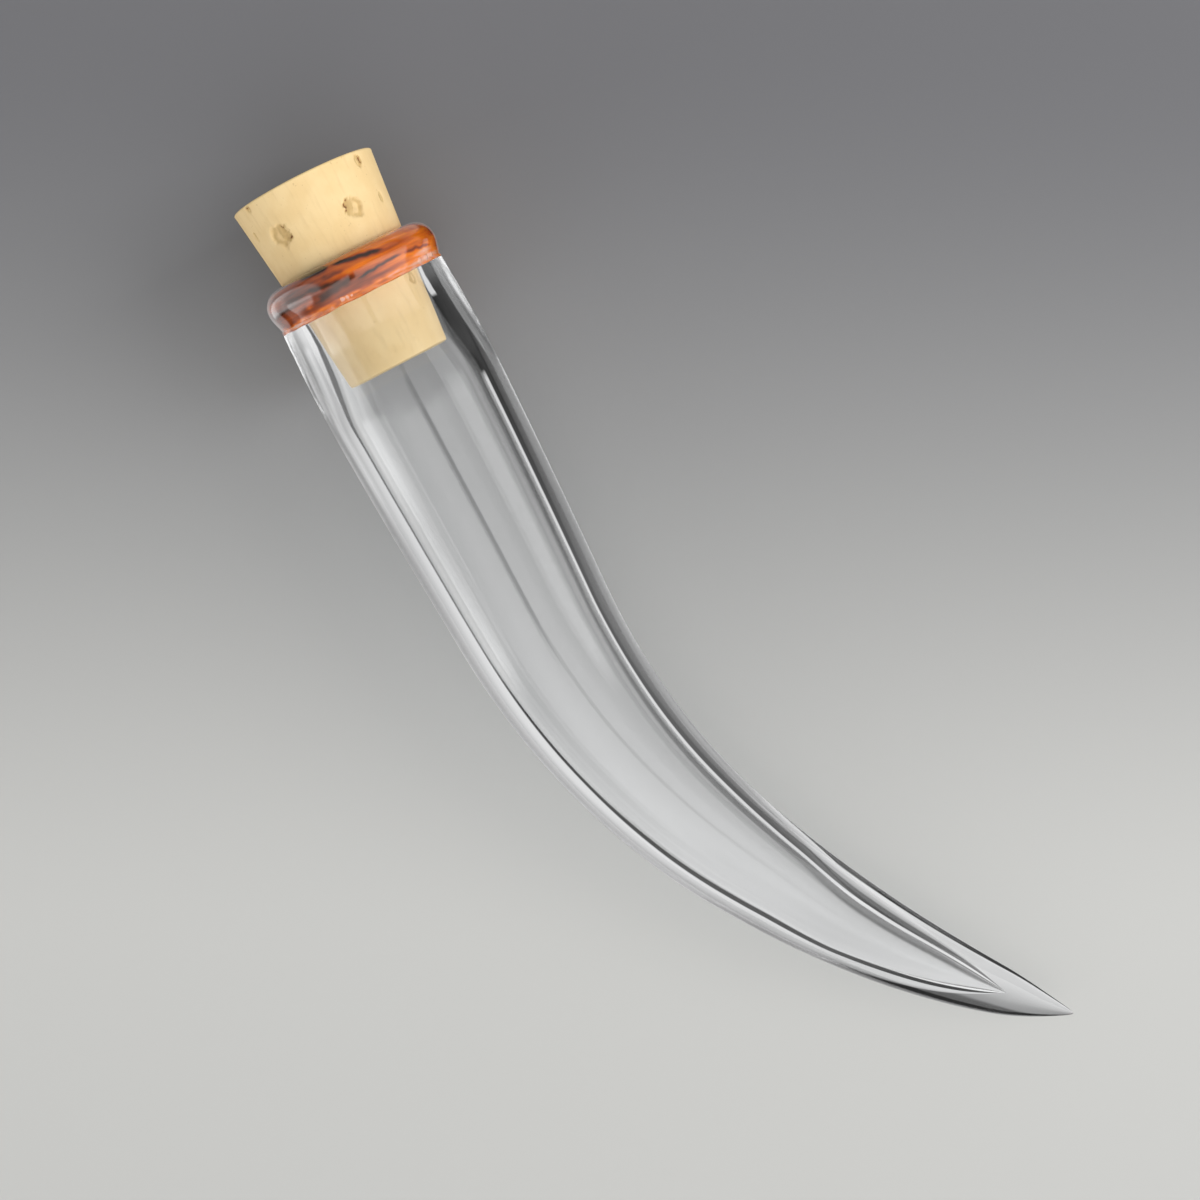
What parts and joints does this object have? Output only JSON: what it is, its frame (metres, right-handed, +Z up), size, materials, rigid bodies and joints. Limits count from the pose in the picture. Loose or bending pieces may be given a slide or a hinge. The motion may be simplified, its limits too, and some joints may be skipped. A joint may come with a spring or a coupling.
{
  "type": "corked glass vial",
  "caption": "Hand-made clear glass vial shaped as a curved horn, with a coloured glass ring on its mouth and a tapered cork that pulls out.",
  "frame": {"origin": "centre of the base of the bounding box, on the surface the vial lies on", "axes": "+Z up as the vial lies on its side, +X along the vial from the cork towards the glass point, which bends towards +Y"},
  "size_m": [0.1672, 0.0602, 0.0244],
  "materials": {
    "clear_glass": "clear polished",
    "amber_glass": "streaked amber and brown, glossy",
    "cork": "natural cork, matt"
  },
  "bodies": {
    "vial": {"vial_body": "clear_glass", "lip_ring": "amber_glass"},
    "cork": {"cork_stopper": "cork"}
  },
  "joints": [
    {"name": "cork_pull", "type": "slide", "parent": "vial", "child": "cork", "axis": [-0.9997, 0, 0.0239], "range_m": [0, 0.03]}
  ]
}
